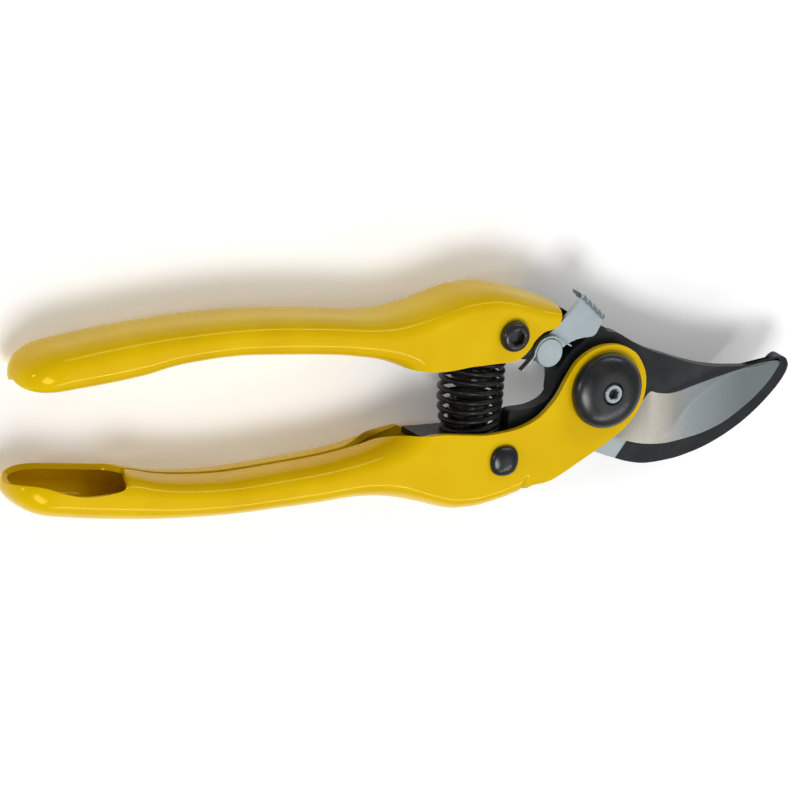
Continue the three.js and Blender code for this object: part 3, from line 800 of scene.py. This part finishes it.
# %% Turning a profile
def hexagon(angle, flat):
    """Radius of a hexagon whose flats are `flat` from its centre."""
    sixth = np.pi / 3
    return flat / np.cos((angle + sixth / 2) % sixth - sixth / 2)


def turned(name, place, profile, finish, around=96, flat=None, squareness=0.0, sharp=30, twist=0.3):
    """Turns (radius, height) rows about the vertical through place. A radius given as None is on the
    hexagon of the socket. squareness pulls the round outline towards a square one."""
    angle = np.linspace(0, 2 * np.pi, around, endpoint=False)
    swell = 1 - squareness * (np.cos(angle) ** 4 + np.sin(angle) ** 4 - 0.75)
    rows = []
    for radius, height in profile:
        r = hexagon(angle + twist, flat) if radius is None else np.maximum(radius, 0) * swell
        rows.append(np.stack([place[0] + r * np.cos(angle), place[1] + r * np.sin(angle),
                              np.full(around, float(height))], 1))
    points = np.vstack(rows)
    faces = grid_faces(len(profile), around, close_columns=True)
    return make_object(name, points, faces, [finish], sharp=sharp)


def arc_rows(radius0, height0, radius1, height1, count=10, power=1.0):
    """Rows of a dome from its rim to its crown: a quarter ellipse between the two ends."""
    a = np.linspace(0, np.pi / 2, count)
    r = radius1 + (radius0 - radius1) * np.cos(a) ** power
    return list(zip(r, height0 + (height1 - height0) * np.sin(a)))


# %% Dome nut and the bolt through it
NUT_RADIUS, NUT_RIM, NUT_BORE = 8.75, 0.9, 2.5
nut_low, nut_high = NUT
nut_profile = [(0, nut_low), (NUT_RADIUS - 0.3, nut_low), (NUT_RADIUS, nut_low + 0.3),
               (NUT_RADIUS, nut_low + NUT_RIM)]
nut_profile += arc_rows(NUT_RADIUS, nut_low + NUT_RIM, NUT_BORE + 0.2, nut_high, 16, 0.92)
nut_profile += [(NUT_BORE, nut_high - 0.25), (NUT_BORE, nut_high - 1.2), (0, nut_high - 1.2)]
dome_nut = turned("dome_nut", (0, 0), nut_profile, NUT_BLACK, around=128)
adopt(dome_nut, "lower_handle", "blackened_steel", "pivot_dome_nut")

BOLT_HEAD, BOLT_HEAD_TOP, BOLT_SHANK, BOLT_STUD = 5.0, 1.8, 4.0, 2.2
bolt_low, bolt_high = level("pivot_bolt")
stud_end = bolt_high - 0.05
bolt_profile = [(0, bolt_low), (BOLT_HEAD - 0.4, bolt_low), (BOLT_HEAD, bolt_low + 0.4),
                (BOLT_HEAD, bolt_low + BOLT_HEAD_TOP - 0.4), (BOLT_HEAD - 0.4, bolt_low + BOLT_HEAD_TOP),
                (BOLT_SHANK, bolt_low + BOLT_HEAD_TOP), (BOLT_SHANK, nut_low - 0.3),
                (BOLT_STUD, nut_low - 0.2), (BOLT_STUD, stud_end - 0.3), (BOLT_STUD - 0.2, stud_end),
                (1.45, stud_end), (None, stud_end - 0.2), (None, stud_end - 1.95), (0, stud_end - 2.15)]
pivot_bolt = turned("pivot_bolt_turned", (0, 0), bolt_profile, ZINC, flat=1.12)
adopt(pivot_bolt, "lower_handle", "zinc_plate", "pivot_bolt")

# %% Rivet and socket bolt
HEAD, SHANK = 3.6, 2.2
seat = FRONT + 0.12                 # underside of both heads, clear of the handle's front
rivet_profile = [(0, 0.4), (2.6, 0.2), (3.2, 0.8), (3.2, 1.7), (SHANK, 1.75), (SHANK, seat),
                 (HEAD - 0.3, seat), (HEAD, seat + 0.2)]
rivet_profile += arc_rows(HEAD, seat + 0.4, 0, seat + 1.9, 12)
rivet = turned("blade_rivet_headed", RIVET, rivet_profile, NUT_BLACK, squareness=0.12)
adopt(rivet, "lower_handle", "blackened_steel", "blade_rivet")

tang_profile = [(0, 0.4), (SHANK, 0.4), (SHANK, seat), (HEAD - 0.3, seat), (HEAD, seat + 0.3),
                (HEAD, seat + 0.6)]
tang_profile += arc_rows(HEAD, seat + 0.6, 2.1, seat + 2.15, 9)[1:]
tang_profile += [(None, seat + 2.0), (None, seat + 0.7), (0, seat + 0.55)]
tang_bolt = turned("tang_bolt_headed", TANG_BOLT, tang_profile, NUT_BLACK, flat=1.62, around=120)
adopt(tang_bolt, "upper_handle", "blackened_steel", "tang_bolt")

# %% Washers, spacers, bush and clip
PIVOT_BORE, BOLT_BORE, PIN_BORE, CLIP_BORE, CHAMFER = 4.05, 2.5, 1.9, 1.65, 0.15
RING_BORES = {
    "pivot_front_washer": PIVOT_BORE, "pivot_spring_washer": PIVOT_BORE, "pivot_back_spacer": PIVOT_BORE,
    "pivot_bush": PIVOT_BORE, "blade_rivet_back_spacer": BOLT_BORE, "blade_rivet_front_spacer": BOLT_BORE,
    "tang_bolt_back_spacer": BOLT_BORE, "tang_bolt_front_spacer": BOLT_BORE, "latch_spacer": PIN_BORE,
    "latch_pin_clip": CLIP_BORE,
}
BODY_OF = {node: body for body, nodes in frame["record"]["behaviour"]["bodies"].items() for node in nodes}


def ring_piece(node, bore):
    """A chamfered ring that fills the CAD node's box, with the bore given."""
    low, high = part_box(node)
    radius, z0, z1, c = (high.x - low.x) / 2 / MM, low.z / MM, high.z / MM, CHAMFER
    rows = [(bore, z0 + c), (bore + c, z0), (radius - c, z0), (radius, z0 + c), (radius, z1 - c),
            (radius - c, z1), (bore + c, z1), (bore, z1 - c), (bore, z0 + c)]
    finish, slot = (BRASS, "bush_brass") if node == "pivot_bush" else (ZINC, "zinc_plate")
    made = turned(node + "_turned", plan_middle(node), rows, finish, around=64)
    adopt(made, BODY_OF[node], slot, node)


for node, bore in RING_BORES.items():
    ring_piece(node, bore)

# %% [markdown]
# ## Spring
# The spring is a round wire wound on a slightly bent axis, because the handles' faces are closer
# together near the pivot. Its centre line is x = a + (R + r cos t) cos b, with b sweeping from one seat
# to the other while t counts the turns. The wire is a circle carried along that line.

# %% Coil spring
SPRING_X, SPRING_R, SWELL, WIRE, TURNS = -30.0, 6.1, 0.8, 0.66, 9.5
BEND_RADIUS = 44.0                  # of the spring's bent axis
HALF_LENGTH = 8.6                   # from the middle to the last open turn, along that axis
DEAD = 0.07                         # share of the wire at each end that lies nearly flat
CREEP = 0.25                        # how much of b a dead turn still gains, per unit of t


def coil_spring():
    """The wire's centre line, a circle carried along it, and a cap of triangles on each end."""
    steps, around = int(TURNS * 40), 14
    t = np.linspace(0, 1, steps)
    reach = HALF_LENGTH / BEND_RADIUS
    creep = CREEP * (np.minimum(t - DEAD, 0) + np.maximum(t - (1 - DEAD), 0))
    b = reach * (2 * np.clip((t - DEAD) / (1 - 2 * DEAD), 0, 1) - 1) + creep
    turn = 2 * np.pi * TURNS * t
    coil = SPRING_R + SWELL * np.sin(np.pi * t)
    r = BEND_RADIUS + coil * np.cos(turn)
    centre_x = SPRING_X + BEND_RADIUS
    line = np.stack([centre_x - r * np.cos(b), r * np.sin(b), MIDDLE + coil * np.sin(turn)], 1)
    ahead = unit_rows(np.gradient(line, axis=0))
    side = unit_rows(np.cross(ahead, np.stack([np.sin(b), -np.cos(b), 0 * b], 1)))
    up = np.cross(side, ahead)
    a = np.linspace(0, 2 * np.pi, around, endpoint=False)[None, :, None]
    rings = line[:, None, :] + WIRE * (np.cos(a) * side[:, None, :] + np.sin(a) * up[:, None, :])
    points = np.vstack([rings.reshape(-1, 3), line[:1], line[-1:]])
    first = steps * around
    k = np.arange(around)
    start_cap = np.stack([first + 0 * k, np.roll(k, -1), k], 1)
    end_cap = np.stack([first + 1 + 0 * k, first - around + k, first - around + np.roll(k, -1)], 1)
    faces = [*grid_faces(steps, around, close_columns=True), *start_cap, *end_cap]
    return make_object("coil_spring_wound", points, faces, [WIRE_BLACK], sharp=60)


spring = coil_spring()
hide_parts("coil_spring")
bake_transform(spring)
print("spring:", len(spring.data.polygons), "faces")

# %% [markdown]
# ## Latch
# The latch is pressed from zinc-plated strip. It turns on a flat-headed pin, widens to a fan and folds
# back at the end into a tab with teeth for the thumb. The sheet is a grid: across the fan, and from the
# pin outwards, round the fold and down the tab. The teeth are ridges on the tab, as high as |sin|.

# %% Latch lever
LEVER_LEFT = [(-17.6, 11.4), (-15, 13.4), (-12.4, 15.4), (-9.4, 18.4), (-7.0, 20.9)]
LEVER_RIGHT = [(-13.6, 6.9), (-10.6, 10.2), (-7, 11.8), (-3, 12.2), (-1.7, 13.8), (-1.0, 15.5)]
FOLD = 5.0                          # from the face of the sheet to the end of the tab
FOLD_RADIUS = 1.0
TOOTH, TEETH = 0.5, 4.5
LEVER_SHEET = 0.9                   # share of the CAD plate's thickness


def latch_lever():
    """The fan, the fold and the tab as one grid, thickened to a sheet."""
    columns, plate_rows, fold_rows, tab_rows = 61, 40, 8, 16
    left, right = along(LEVER_LEFT, plate_rows), along(LEVER_RIGHT, plate_rows)
    s = np.linspace(0, 1, columns)[None, :, None]
    plan = left[:, None, :] + (right - left)[:, None, :] * s
    sheet = np.dstack([plan, np.full(plan.shape[:2], (PLATE[0] + PLATE[1]) / 2)])
    edge = sheet[-1]
    run = edge[-1] - edge[0]
    out = np.array([-run[1], run[0], 0]) / np.linalg.norm(run)
    a = np.linspace(0, np.pi / 2, fold_rows)[1:, None, None]
    down = np.array([0, 0, -1])
    fold = edge[None] + FOLD_RADIUS * (out * np.sin(a) + down * (1 - np.cos(a)))
    tab = fold[-1][None] + down * np.linspace(0, FOLD - FOLD_RADIUS - 0.6, tab_rows)[1:, None, None]
    teeth = out * (TOOTH * np.abs(np.sin(np.linspace(0, TEETH * np.pi, columns))) ** 0.7)[None, :, None]
    points = np.vstack([grid.reshape(-1, 3) for grid in (sheet, fold + teeth * np.sin(a), tab + teeth)])
    rows = plate_rows + fold_rows + tab_rows - 2
    made = make_object("latch_lever_pressed", points, grid_faces(rows, columns), [ZINC], sharp=180)
    thicken(made, (PLATE[1] - PLATE[0]) * LEVER_SHEET)
    return soften(made, 0.12)


adopt(latch_lever(), "latch", "zinc_plate", "latch_lever")

# %% Latch pin and its spring strip
PIN_SHANK, PIN_HEAD, PIN_HEAD_LOW = 1.6, 3.4, 1.6
pin_low, pin_high = level("latch_pin")
under_head = pin_high - PIN_HEAD_LOW
pin_profile = [(0, pin_low), (PIN_SHANK, pin_low), (PIN_SHANK, under_head), (PIN_HEAD - 0.2, under_head),
               (PIN_HEAD, under_head + 0.2), (PIN_HEAD, pin_high - 0.25), (PIN_HEAD - 0.2, pin_high),
               (1.0, pin_high + 0.03), (0, pin_high + 0.03)]
latch_pin = turned("latch_pin_turned", LATCH_PIN, pin_profile, ZINC)
adopt(latch_pin, "upper_handle", "zinc_plate", "latch_pin")

STRIP = [(-22.2, 6.1), (-19.4, 9), (-18.7, 11.2), (-17.4, 12.9), (-15.2, 13.5), (-13, 12.9), (-9.8, 11)]


def latch_strip():
    """A thin sheet stood on edge: the route in plan, carried up between two levels."""
    line = along(STRIP, 70)
    z = np.linspace(*level("latch_spring_strip"), 5)
    x, y = (np.repeat(line[:, None, k], len(z), 1) for k in (0, 1))
    points = np.dstack([x, y, np.repeat(z[None, :], len(line), 0)]).reshape(-1, 3)
    made = make_object("latch_strip_bent", points, grid_faces(len(line), len(z)), [ZINC], sharp=180)
    thicken(made, 0.4)
    return soften(made, 0.08)


adopt(latch_strip(), "upper_handle", "zinc_plate", "latch_spring_strip")

# %% [markdown]
# ## Pieces that stay as they are
# The nut behind the tang bolt and the two spring seats are simple turned or hexagonal shapes, so their
# CAD meshes stay and only take a finish.

# %% Finish the carried-over nodes
for node in ("tang_bolt_nut", "lower_spring_seat", "upper_spring_seat"):
    mesh = frame["nodes"][node].data
    mesh.materials.clear()
    mesh.materials.append(NUT_BLACK)
    print(node, "keeps its mesh")
